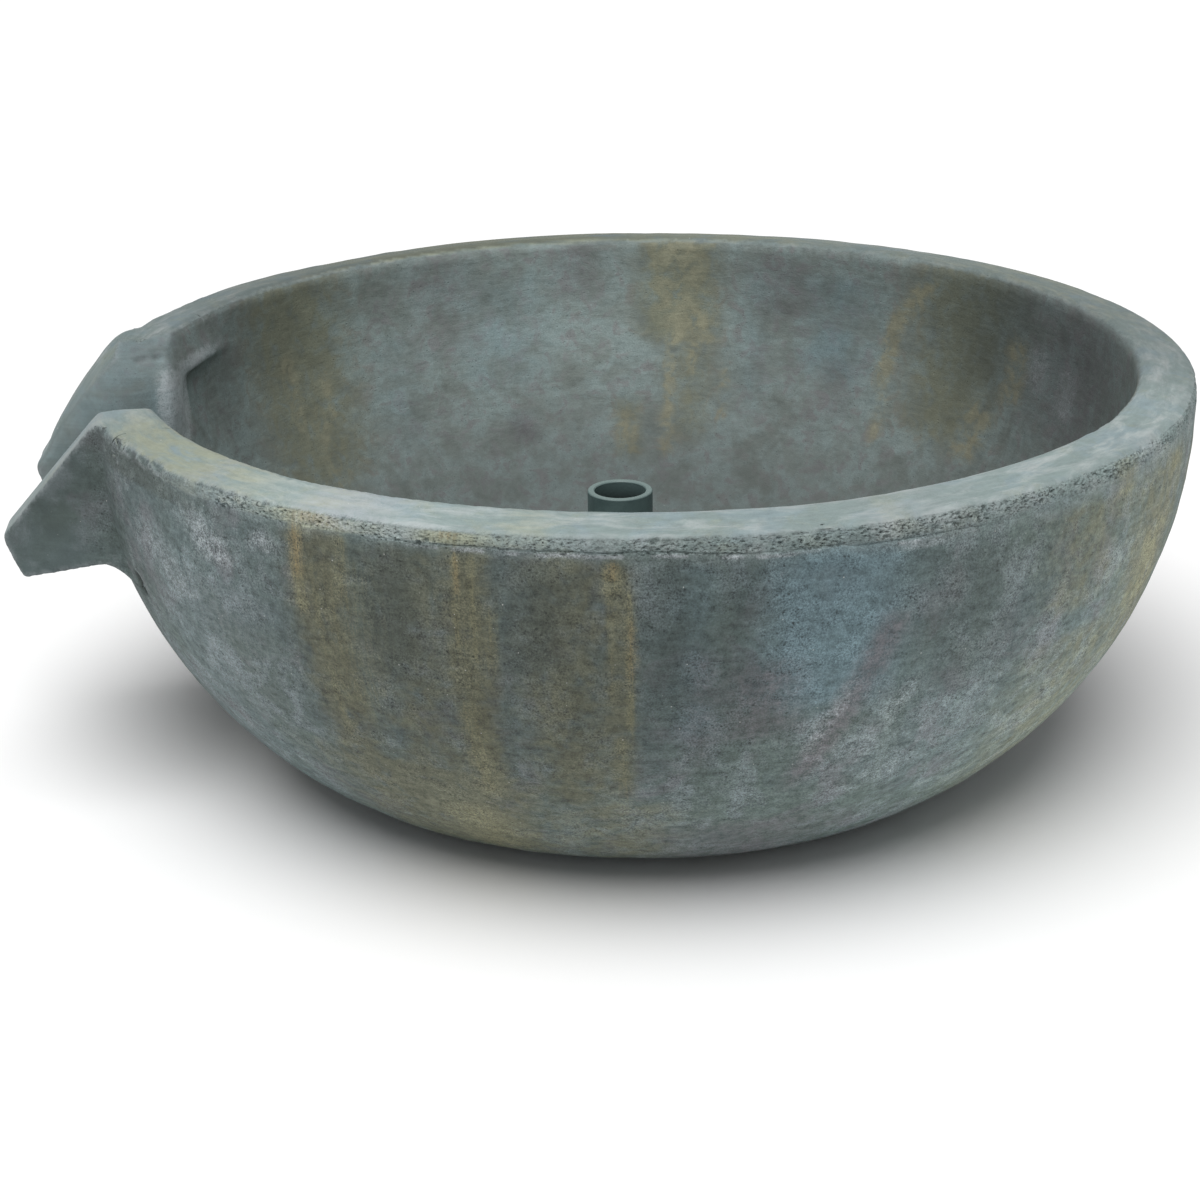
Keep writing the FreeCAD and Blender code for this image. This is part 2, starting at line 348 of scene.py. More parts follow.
def on_narrow_runs(centres):
    """True under the patina runs that are too narrow for the wall's mesh."""
    narrow = [row for row in outside_ochre + outside_rust if row[1] < narrow_run] + [root_hollow]
    radius, drops = polar(centres)[1:]
    on_outside = (drops > band_below) & (radius > rim_radius - rim_width)
    return on_outside & (streaks(centres, narrow) > clear_run)


def on_joint(centres):
    """True near the faces of the spout's seat."""
    across, height = np.abs(centres[:, 1]), centres[:, 2]
    in_seat = (across < joint_high.y + joint_reach) & (height > joint_low.z - joint_reach)
    in_seat &= centres[:, 0] < joint_high.x + joint_back_margin
    at_side = np.abs(across - joint_high.y) < joint_reach
    at_foot = np.abs(height - joint_low.z) < joint_reach
    return in_seat & (at_side | at_foot)


def on_ledge(centres):
    angles, radius, drops = polar(centres)
    beside = np.abs(angle_from(np.abs(angles), ledge_angles[0])) < ledge_fade[1]
    depth = rim_radius - radius
    at_edge = (depth > ledge_depths[0]) & (depth < ledge_depths[1])
    return beside & at_edge & (drops > ledge_drops[0]) & (drops < ledge_drops[1])


def band_share(places):
    """1 on the rough band under the rim's outer edge, which fades downwards where the seam runs low."""
    angles, radius, drops = polar(places)
    seam = seam_drop(angles)
    fade = band_fade * smoothstep(*low_seam, seam)
    share = smoothstep(rim_radius - band_start, rim_radius - band_full, radius)
    share *= 1.0 - smoothstep(seam + band_foot[0] - fade, seam + band_foot[1], drops)
    return share * smoothstep(*band_ends, np.abs(angles))


def make_uneven(mesh):
    """Shallow swells and hollows, pressed inwards so that the sizes stay, and a rough rim band."""
    places, normals = arrays(mesh)
    press = np.zeros(len(places))
    for wavelength, depth in swells:
        press += depth * (noise_at(places, wavelength) - proud_share)
    band = band_share(places)
    rough = np.flatnonzero(band)
    for wavelength, depth in band_swells:
        press[rough] += depth * band[rough] * (noise_at(places[rough], wavelength) - proud_share)
    press = np.maximum(press, 0.0) * smoothstep(0.0, level_foot, places[:, 2])
    set_places(mesh, places - normals * press[:, None])


def ring_place(angle, drop):
    return Vector((rim_radius * math.cos(angle), rim_radius * math.sin(angle), rim_edge_height - drop))


def make_pits():
    """Place, radius and relative depth of each air hole."""
    draw = random.Random(pit_seed)

    def size(radii):
        return radii[0] + (radii[1] - radii[0]) * draw.random() ** small_pit_bias

    pits = []
    while len(pits) < band_pits:
        angle = draw.uniform(-math.pi, math.pi)
        crowd = noise.noise(Vector((math.cos(angle), math.sin(angle), 0.0)) * crowd_frequency)
        drop = draw.uniform(*band_pit_drops)
        crowded = crowd + draw.uniform(-crowd_spread, crowd_spread) > 0.0
        if crowded and abs(math.degrees(angle)) < band_ends[1]:
            pits.append((ring_place(angle, drop), size(band_pit_radii), band_pit_depth))
    for _ in range(cheek_pits):
        turn = math.radians(draw.uniform(*cheek_pit_turns))
        side = shoulder_side - shoulder_radius * math.sin(turn)
        drop = shoulder_radius * (1.0 - math.cos(turn))
        place = Vector((-draw.uniform(*cheek_pit_out), side, rim_edge_height - drop))
        pits.append((place, size(cheek_pit_radii), cheek_pit_depth))
    return pits


def near_pits(pits):
    tree = kd_tree([place for place, _, _ in pits])

    def near(centres):
        return np.array([tree.find(centre)[2] < pit_near for centre in centres]) & on_band(centres)

    return near


def press_pits(mesh, pits):
    """Holes, lower than they are wide, pressed into the surface nearest to each place."""
    places, normals = arrays(mesh)
    tree = kd_tree(places)
    depth = np.zeros(len(places))
    for place, radius, steepness in pits:
        centre = tree.find(place)[0]
        for near, index, _ in tree.find_range(centre, radius):
            offset = near - centre
            offset.z *= pit_flatness
            hollow = 1.0 - (offset.length / radius) ** 2
            depth[index] = max(depth[index], steepness * radius * hollow)
    set_places(mesh, places - normals * depth[:, None])


def seam_share(angles):
    """1 where the mould seam shows clearly, on the front and on the back."""
    off = (angles - seam_middle + 90.0) % 180.0 - 90.0
    return 1.0 - smoothstep(*seam_fade, np.abs(off))


def seam_ridge(places):
    """1 on the low ridge that runs, here and there, under the mould seam."""
    angles, radius, drops = polar(places)
    below = drops - seam_drop(angles)
    broken = smoothstep(*ridge_gaps, ring_noise(angles, ridge_wavelength))
    clear = seam_share(angles) * (radius > rim_radius - band_inset)
    return np.exp(-(((below - ridge_drop) / ridge_width) ** 2)) * broken * clear


def press_seam(mesh):
    """The mould seam: a fine groove with a low ridge under it, which stays within the bowl's width."""
    places, normals = arrays(mesh)
    angles, radius, drops = polar(places)
    groove = seam_depth * (1.0 - smoothstep(0.0, seam_width, np.abs(drops - seam_drop(angles))))
    groove *= seam_share(angles) * (radius > rim_radius - band_inset)
    press = groove - ridge_height * seam_ridge(places)
    places -= normals * press[:, None]
    radius = np.hypot(places[:, 0], places[:, 1])
    proud = (radius > rim_radius) & (press < 0.0)
    places[proud, :2] *= (rim_radius / radius[proud])[:, None]
    set_places(mesh, places)


def past_ledge(places):
    """How far each place lies past the ledge's edge, down the wall or away from the channel's mouth."""
    down = polar(places)[2] - ledge_drop
    along = np.abs(places[:, 1]) - mouth_side
    blend = np.maximum(ledge_bend - np.abs(down - along), 0.0)
    return np.minimum(down, along) - blend**2 / (4.0 * ledge_bend)


def ledge_share(places):
    """1 at the angles beside the spout where the ledge is."""
    angles = polar(places)[0]
    share = np.zeros(len(places))
    for angle in ledge_angles:
        share += 1.0 - smoothstep(*ledge_fade, np.abs(angle_from(angles, angle)))
    return share


def raise_ledge(mesh):
    """Draws the inside of the rim inwards down to a ledge beside the spout."""
    places, normals = arrays(mesh)
    _, radius, drops = polar(places)
    slope = within(drops, ledge_start, ledge_drop, *mouth_drops)
    slope *= 1.0 - smoothstep(0.0, ledge_foot, past_ledge(places))
    facing = smoothstep(*ledge_facing, -outwardness(places, normals))
    inward = ledge_overhang * ledge_share(places) * slope * facing
    places[:, :2] *= (1.0 - inward / np.maximum(radius, tiny))[:, None]
    set_places(mesh, places)


def edge_ends(mesh):
    """Indices of the first vertices of all edges, and of the second ones."""
    pairs = np.empty(len(mesh.edges) * 2, dtype=np.int32)
    mesh.edges.foreach_get("vertices", pairs)
    return pairs.reshape(-1, 2).T


def averager(mesh):
    """Function for the mean of any values over each vertex's neighbours."""
    one, other = edge_ends(mesh)
    size = len(mesh.vertices)
    count = np.maximum(np.bincount(one, minlength=size) + np.bincount(other, minlength=size), 1)

    def mean(column):
        return (np.bincount(one, column[other], size) + np.bincount(other, column[one], size)) / count

    return lambda values: np.apply_along_axis(mean, 0, values)


def round_mouth(mesh):
    """Softens the edges where the channel opens into the bowl."""
    places = arrays(mesh)[0]
    soft = within(-places[:, 0], *mouth_out) * within(np.abs(places[:, 1]), *mouth_sides)
    soft *= within(polar(places)[2], *mouth_heights)
    averaged = averager(mesh)
    for _ in range(mouth_rounds):
        places += mouth_share * soft[:, None] * (averaged(places) - places)
    set_places(mesh, places)


def crest_share(places, normals):
    """1 on the crests of the spout's cheeks."""
    on_cheek = smoothstep(*crest_rise, -places[:, 0]) * smoothstep(*crest_sides, np.abs(places[:, 1]))
    return smoothstep(*crest_facing, normals @ crest_up) * on_cheek


def shape_far_cheek(mesh):
    places, normals = arrays(mesh)
    out, side = -places[:, 0], places[:, 1]
    along = np.clip((out - crest_out[0]) / (crest_out[1] - crest_out[0]), 0.0, 1.0)
    lift = far_crest_lift * np.sin(np.pi * along**far_crest_skew)
    lift *= within(side, *crest_sides, *far_crest_sides)
    lift *= smoothstep(*far_crest_facing, normals @ crest_up)
    places += lift[:, None] * crest_up
    places[:, 0] += far_lip_short * smoothstep(*far_lip_out, out) * smoothstep(*far_lip_sides, side)
    set_places(mesh, places)


def soften(mesh):
    """Rounds the edges a little."""
    places = arrays(mesh)[0]
    averaged = averager(mesh)
    for _ in range(edge_rounds):
        places += edge_share * (averaged(places) - places)
    set_places(mesh, places)


def press_hollow(mesh):
    places, normals = arrays(mesh)
    on_outside = outwardness(places, normals) > 0.0
    depth = root_hollow_depth * streaks(places, (root_hollow,)) * on_outside
    set_places(mesh, places - normals * depth[:, None])


# Worn edges, lightened as wear and as a painted highlight: how sharply the surface bends, per metre
wear_and_highlight_bends = (20.0, 110.0)
wear_and_highlight_rounds = 4


def edge_wear_and_highlight(mesh):
    """1 on worn outer edges, which stand out from what is around them; the concrete lightens them as wear
    and as a painted highlight.
    """
    places, normals = arrays(mesh)
    ends = edge_ends(mesh)
    averaged = averager(mesh)
    lengths = np.linalg.norm(places[ends[0]] - places[ends[1]], axis=1)
    count = np.bincount(ends.ravel(), minlength=len(places))
    spacing = np.bincount(ends.ravel(), np.tile(lengths, 2), len(places))
    spacing = np.maximum(spacing / np.maximum(count, 1), tiny)
    bend = 2.0 * np.sum(normals * (places - averaged(places)), axis=1) / spacing**2
    for _ in range(wear_and_highlight_rounds):
        bend = (bend + averaged(bend)) / 2
    return smoothstep(*wear_and_highlight_bends, bend)


# Patina runs: angle, half width, top and bottom drop in millimetres, strength in percent,
# and for some a slant in degrees per metre of drop
narrow_run = 1.8
clear_run = 0.10
run_edge = 0.010
run_fade = 0.3
outside_olive = (
    (-126.2, 3.6, 4, 250, 90),
    (-117.5, 6, 10, 250, 60),
    (-112, 3, 2, 250, 90),
    (-103.5, 5, 6, 250, 75),
    (-98.8, 1.7, 10, 220, 80),
    (-119, 15, 170, 290, 90),
    (-100, 9, 190, 290, 60),
    (-46, 4, 2, 50, 60),
    (-37, 9, 10, 200, 70),
    (-52, 7, 15, 110, 55),
    (-20, 10, 30, 260, 60),
    (-45, 16, 110, 290, 55),
    (47, 7, 0, 260, 70),
    (97, 9, 80, 280, 60),
    (126, 5, 0, 240, 70),
)
outside_ochre = (
    (-128.2, 1, 6, 80, 75),
    (-126.6, 0.7, 25, 190, 42),
    (-123.5, 0.7, 10, 75, 60),
    (-123.5, 4.2, 25, 160, 40),
    (-119.8, 0.6, 30, 100, 25),
    (-112.7, 0.6, 6, 100, 60),
    (-111.2, 0.5, 12, 100, 65),
    (-109.6, 0.8, 45, 100, 50, -8),
    (-112.4, 1.6, 110, 215, 55),
    (-111.8, 3, 20, 130, 36),
    (-99.3, 1.1, 12, 40, 65),
    (-97.8, 0.5, 30, 155, 65),
    (-99.4, 0.5, 30, 120, 40),
    (-98.5, 0.9, 130, 215, 40),
    (-115.5, 5, 205, 275, 55),
    (-46, 2.4, 2, 30, 60),
    (-33, 2.6, 18, 38, 60),
    (-37, 4, 60, 130, 55),
    (-15, 3, 60, 200, 50),
    (14, 1.4, 10, 150, 60),
    (46, 1.6, 0, 160, 70),
    (49.5, 1, 30, 200, 60),
    (83, 1.3, 10, 190, 65),
    (125.5, 1.3, 0, 150, 75),
    (128, 0.9, 30, 200, 60),
)
band_cream = (
    (-125.5, 5, -5, 14, 90),
    (-112.5, 3.5, -5, 11, 70),
    (-46, 4, -5, 20, 40),
)
outside_rust = (
    (-128.3, 0.8, 10, 50, 60),
    (-126.4, 3, -3, 10, 35),
    (-113.4, 1.6, -3, 7, 30),
    (-112.6, 0.4, 12, 45, 40),
    (-99.2, 0.6, 14, 28, 50),
    (-97.7, 0.4, 50, 100, 40),
    (46, 0.9, 4, 70, 60),
    (126, 0.9, 6, 70, 60),
)
outside_dark = (
    (-119, 3.4, 15, 120, 65),
    (-106, 3.8, 15, 105, 60),
    (-94, 2.5, 12, 150, 55),
    (-87.5, 3, 12, 70, 45),
    (-66, 7, 25, 140, 50),
    # Dark band under the rim's outer edge beside the spout: painted shade as well as patina.
    (-152, 13, 2, 26, 80),
    (0, 5, 20, 120, 50),
    (32, 7, 20, 140, 60),
    (70, 6, 20, 120, 50),
    (112, 6, 20, 150, 60),
)
outside_pale = (
    (-142, 2.6, 18, 58, 50, 70),
    (-138.5, 1.8, 28, 58, 45, 40),
    (-132.2, 1.7, 20, 38, 50),
    (-150, 3.5, 45, 95, 40, 100),
    (-77.5, 1.3, 100, 175, 40, -61),
    (-71.5, 1.6, 110, 185, 30, -61),
    (-72, 2.5, 14, 22, 50),
    (-74, 9, 140, 215, 22),
    (60, 6, 30, 70, 60),
    (-20, 9, 160, 260, 40),
)
outside_plum = (
    (-74, 1.9, 60, 205, 75, -61),
    (-86, 4.5, 80, 150, 60),
    (-91.5, 2, 70, 180, 45),
    (-140, 12, 60, 190, 30),
    (-84, 14, 215, 290, 50),
    (20, 3, 80, 200, 70, 60),
)
outside_blue = (
    (-80, 8, 6, 140, 85),
    (-64, 10, 60, 210, 15),
    (-140, 12, 50, 190, 20),
    (-92.5, 3, 15, 160, 50),
    (55, 12, 20, 160, 50),
)
inside_olive = (
    (34, 10, -10, 170, 75),
    (137, 10.5, -10, 200, 85),
    (77.5, 6, -10, 105, 95),
    (75.5, 5, 60, 185, 55),
    (85, 3, 130, 190, 60),
    (-30, 8, -10, 140, 80),
    (-80, 9, -10, 130, 80),
    (-118, 7, 10, 150, 70),
)
inside_ochre = (
    (77.5, 4.8, -10, 78, 55),
    (75.6, 4, 55, 96, 70),
    (75.2, 0.9, 80, 118, 80),
    (78.8, 0.9, 80, 170, 70),
    (70.4, 1, 105, 160, 55),
    (79, 1.7, 140, 184, 50),
    (85, 2, 138, 186, 55),
    (40, 1.9, 15, 62, 75, 125),
    (44.8, 1.5, 48, 120, 85, 25),
    (45.8, 1.6, 100, 165, 45, -10),
    (23, 2.6, 40, 105, 60),
    (27.5, 3.2, 100, 155, 65, 20),
    (132.3, 1, 75, 128, 50),
    (138.5, 1.7, 55, 128, 50),
    (135, 3, 100, 180, 35),
    (-30, 5, -10, 140, 60),
    (-80, 6, -10, 120, 65),
    (-118, 4, 10, 150, 60),
)
inside_dark = (
    (4, 14, -10, 150, 16),
    (28, 13, -10, 120, 45),
    (152, 6, 32, 150, 45),
    (-60, 10, 0, 120, 50),
)
inside_pale = (
    (11, 3, 45, 98, 50),
    (18.5, 2.8, 40, 84, 50),
    (-100, 8, 30, 120, 40),
)
inside_plum = (
    (92, 5, -5, 60, 42),
    (62, 5, 10, 75, 46),
    (53, 4, 90, 150, 40),
    (101.5, 3, 138, 170, 60),
    (8, 14, 0, 130, 50),
    (112, 7, 0, 110, 36),
)
inside_blue = (
    (103, 9, 20, 140, 35),
    (54, 7, 20, 130, 45),
    (66, 3, 20, 160, 30),
    (120, 5, 60, 180, 30),
)
rim_cream = (
    (-148, 14, -1000, 1000, 75),
    (-126, 5, -1000, 1000, 45),
    (-107, 3, -1000, 1000, 35),
    (25, 30, -1000, 1000, 40),
    (95, 40, -1000, 1000, 85),
)
rim_pale = (
    (-124, 6, -1000, 1000, 80),
    (-141, 3, -1000, 1000, 40),
    (-72, 8, -1000, 1000, 35),
)

# Broad changes of tone: angle, half width, drop and half height in millimetres, change in stops
outside_tones = (
    (-105, 28, 60, 90, -0.15),
    (-92, 6, 80, 80, -0.15),
    (-145, 14, 110, 120, 0.74),
    (-167, 12, 50, 50, -0.55),
    (167, 12, 50, 60, -0.3),
    (-39, 24, 100, 180, 1.2),
    (-76, 13, 130, 70, 0.45),
    (-55, 18, 190, 70, 0.35),
    (-118, 8, 215, 40, 0.25),
    (-97, 12, 190, 60, 0.15),
    (-80, 60, 260, 80, 0.75),
)
inside_tones = (
    (96, 34, 45, 80, 0.95),
    (128, 16, 60, 90, 0.35),
    (155, 12, 80, 90, 0.35),
    (45, 12, 60, 80, 0.2),
    (16, 20, 90, 110, -0.45),
    (75, 70, 220, 60, -0.75),
)
rim_tones = (
    (-124, 12, 0, 1000, 0.2),
    (-155, 12, 0, 1000, -0.15),
    (-85, 22, 0, 1000, -0.15),
    (-30, 11, 0, 1000, 0.25),
    (-125.5, 6, 11, 8, 0.6),
    (8, 46, 0, 1000, -0.85),
    (115, 62, 0, 1000, -1.4),
)

# Tones of single marks, in stops: the far channel, the painted shade in the hollow under the spout's
# root, and the painted highlight on the worn edges
channel_tone = -0.08
hollow_shade_tone = -1.7
worn_and_lit_tone = 0.60


def streaks(places, rows):
    """Share of a patina colour at each place."""
    angles, _, drops = polar(places)
    total = np.zeros(len(places))
    for angle, half_width, top, bottom, strength, *slant in rows:
        top, bottom = top / mm_per_metre, bottom / mm_per_metre
        middle = angle + sum(slant) * (drops - top)
        across = np.exp(-((angle_from(angles, middle) / half_width) ** 2))
        fade = run_fade * (bottom - top)
        edge = min(run_edge, fade)
        along = within(drops, top - edge, top + edge, bottom - fade, bottom)
        total = np.maximum(total, strength / 100 * across * along)
    return total


def tones(places, rows):
    """Change of tone at each place, in stops."""
    angles, _, drops = polar(places)
    total = np.zeros(len(places))
    for angle, half_width, drop, half_height, stops in rows:
        off = angle_from(angles, angle) / half_width
        below = (drops - drop / mm_per_metre) / (half_height / mm_per_metre)
        total += stops * np.exp(-(off**2) - below**2)
    return total


# Parts of the surface, by facing and place
channel_facing = (0.10, 0.35)
channel_out = (0.330, 0.345)
channel_sides = (0.1165, 0.1140)
bed_facing = (0.4, 0.7)
bed_side = 0.075
far_sides = (-0.03, 0.03)
rim_facing = (0.45, 0.85)
rim_drops = (0.010, 0.030)
apron_start = (0.002, 0.004)
apron_end = (0.010, -0.002)
floor_facing = (0.3, 0.6)
floor_drops = (0.050, 0.080)
floor_reach = 0.330
inward_facing = (0.1, -0.2)

# Shares of the rim's pale colour on the crests, the rough band and the strip under it
crest_light = 0.90
band_light = 0.62
band_dull = 0.35
apron_light = 0.25


def surface_parts(places, normals):
    """Shares of the rough band, the cheeks' crests, the channel's far side, the rim and the inside."""
    angles, radius, drops = polar(places)
    out, side = -places[:, 0], places[:, 1]
    facing_up = normals[:, 2]
    outward = outwardness(places, normals)
    band = band_share(places)
    crest = crest_share(places, normals)
    cheeks = smoothstep(*channel_facing, -normals[:, 1] * np.sign(side))
    bed = smoothstep(*bed_facing, facing_up) * (np.abs(side) < bed_side)
    channel = np.maximum(cheeks, bed) * (1.0 - crest)
    channel *= smoothstep(*channel_out, out) * smoothstep(*channel_sides, np.abs(side))
    far_channel = channel * smoothstep(*far_sides, side)
    top = smoothstep(*rim_facing, facing_up) * (1.0 - smoothstep(*rim_drops, drops)) * (1.0 - far_channel)
    top *= 1.0 - band_dull * band
    apron = smoothstep(*apron_end, drops - seam_drop(angles)) * smoothstep(*apron_start, drops)
    apron *= (radius > rim_radius - band_inset) * (outward > 0.0) * smoothstep(*band_ends, np.abs(angles))
    rim = np.max([top, band_light * band, apron_light * apron, crest_light * crest], axis=0)
    floor = smoothstep(*floor_facing, facing_up) * smoothstep(*floor_drops, drops)
    floor *= radius < floor_reach
    inside = np.max([smoothstep(*inward_facing, outward), channel, floor], axis=0) * (1.0 - rim)
    return band, crest, far_channel, rim, inside


# Worn edges at the channel's mouth lightened with painted highlights, painted shade under the ledge and
# along the rim's far end, and dark mottling on the far cheek
ledge_worn_and_lit = (-0.014, -0.003, 0.0, 0.004)
ledge_shaded = (0.001, 0.003, 0.004, 0.022)
near_ledge_share = 0.4
mouth_edge_out = (0.330, 0.336, 0.347, 0.358)
mouth_edge_sides = (0.045, 0.060)
mouth_edge_drops = (0.008, 0.030, 0.075, 0.100)
mouth_edge_end = 0.110
rim_end_side = 0.1155
rim_end_width = 0.0016
rim_end_out = (0.336, 0.342, 0.390, 0.400)
rim_end_drops = (0.004, 0.012)
cheek_middle = (-0.365, 0.097, 0.268)
cheek_spread = 0.024


def mouth_marks(places, inside):
    """Shares of the worn and of the shaded side of the ledge, and of the worn edge of the mouth; the worn
    ones also carry a painted highlight, the shaded one painted shade.
    """
    side = places[:, 1]
    drops = polar(places)[2]
    past = past_ledge(places)
    ledge = ledge_share(places) * inside * (1.0 - smoothstep(*mouth_drops, drops))
    worn_and_lit = ledge * within(past, *ledge_worn_and_lit) * np.where(side < 0.0, near_ledge_share, 1.0)
    shaded = ledge * within(past, *ledge_shaded)
    edge = inside * within(-places[:, 0], *mouth_edge_out) * smoothstep(*mouth_edge_sides, side)
    edge *= within(drops, *mouth_edge_drops) * (side < mouth_edge_end)
    return worn_and_lit, shaded, edge


def rim_end_shade_line(places):
    """1 on the fine dark line where the rim ends at the far cheek, painted there as the edge's shade."""
    line = np.exp(-(((places[:, 1] - rim_end_side) / rim_end_width) ** 2))
    line *= within(-places[:, 0], *rim_end_out)
    return line * (1.0 - smoothstep(*rim_end_drops, polar(places)[2]))


# Strengths of the marks in each patina colour, some of them painted shade and painted highlights, and how
# smooth the rim, the inside and the spout are
shaded_ledge_dark = 0.6
cheek_dark = 0.5
cheek_plum = 0.6
channel_blue = 0.4
mouth_highlight = 0.8
near_crest_highlight = 0.4
ridge_highlight = 0.8
band_ochre = 0.5
rim_smooth = 0.85
inside_smooth = 0.75
spout_smooth = 0.75
spout_smooth_out = (0.365, 0.405)


def paint(mesh):
    """Patina shares on the vertices, for the concrete's material; the dark, pale and tone shares also
    hold painted shade and painted highlights.
    """
    places, normals = arrays(mesh)
    band, crest, far_channel, rim, inside = surface_parts(places, normals)
    outside = (1.0 - inside) * (1.0 - rim)
    worn_and_lit_ledge, shaded_ledge, worn_and_lit_mouth_edge = mouth_marks(places, inside)
    # The hollow under the spout's root is darkened with painted shade.
    hollow = outside * streaks(places, (root_hollow,))
    from_cheek = (places - np.array(cheek_middle)) / cheek_spread
    cheek_shade = far_channel * np.exp(-(from_cheek**2).sum(axis=1))
    near_crest = crest * (places[:, 1] < 0.0)

    def laid(on_outside=(), on_inside=(), on_rim=()):
        total = outside * streaks(places, on_outside) + inside * streaks(places, on_inside)
        return total + rim * streaks(places, on_rim)

    # The dark share holds painted shade in the hollow, along the rim's far end and under the ledge,
    # besides the patina's dark stains.
    dark = [laid(outside_dark, inside_dark), hollow, rim_end_shade_line(places)]
    dark += [shaded_ledge_dark * shaded_ledge, cheek_dark * cheek_shade]
    # The pale share holds painted highlights on the worn ledge and the mouth's edge, besides wear and
    # chalky scuffs.
    pale = [laid(outside_pale, inside_pale, rim_pale), worn_and_lit_ledge, mouth_highlight * worn_and_lit_mouth_edge]
    # Painted highlights along the near cheek's crest and on the ridge under the mould seam.
    pale += [near_crest_highlight * near_crest, ridge_highlight * seam_ridge(places)]
    cream_on_band = band * streaks(places, band_cream)
    smooth_spout = spout_smooth * smoothstep(*spout_smooth_out, -places[:, 0])
    tone = outside * tones(places, outside_tones) + inside * tones(places, inside_tones)
    tone += rim * tones(places, rim_tones) + channel_tone * far_channel + hollow_shade_tone * hollow
    # Painted highlight: the worn ledge and mouth edge lightened further.
    tone += worn_and_lit_tone * np.maximum(worn_and_lit_ledge, worn_and_lit_mouth_edge)
    shares = {
        "ochre": laid(outside_ochre, inside_ochre) + band_ochre * cream_on_band,
        "rust": laid(outside_rust) + band * streaks(places, outside_rust),
        "dark": np.max(dark, axis=0),
        "pale": np.max(pale, axis=0),
        "plum": laid(outside_plum, inside_plum) + cheek_plum * cheek_shade,
        "blue": laid(outside_blue, inside_blue) + channel_blue * far_channel,
        "olive": laid(outside_olive, inside_olive),
        "cream": laid(on_rim=rim_cream) + cream_on_band,
        "rim": rim,
        "inside": inside,
        "band": band,
        "sand": (1.0 - rim_smooth * rim) * (1.0 - inside_smooth * inside) * (1.0 - smooth_spout),
        "wear_and_highlight": edge_wear_and_highlight(mesh) * (1.0 - band),
        "tone": 2.0**tone,
    }
    for name, share in shares.items():
        layer = mesh.attributes.new(name, "FLOAT", "POINT")
        layer.data.foreach_set("value", share.astype(np.float32))


mend_neighbours = 4
mend_softness = 1e-5


def mend_shares(mesh, source):
    """Gives the vertices made by a cut the patina of their nearest neighbours before it."""

    def values(owner, name):
        read = np.empty(len(owner.vertices), dtype=np.float32)
        owner.attributes[name].data.foreach_get("value", read)
        return read

    tree = kd_tree(arrays(source)[0])
    places = arrays(mesh)[0]
    bare = np.flatnonzero(values(mesh, "tone") == 0.0)
    near = [tree.find_n(places[index], mend_neighbours) for index in bare]
    owners = np.array([[owner for _, owner, _ in found] for found in near])
    weights = np.array([[1.0 / (distance + mend_softness) for _, _, distance in found] for found in near])
    for name in [layer.name for layer in source.attributes if layer.data_type == "FLOAT"]:
        mended = values(mesh, name)
        mended[bare] = np.average(values(source, name)[owners], axis=1, weights=weights)
        mesh.attributes[name].data.foreach_set("value", mended)


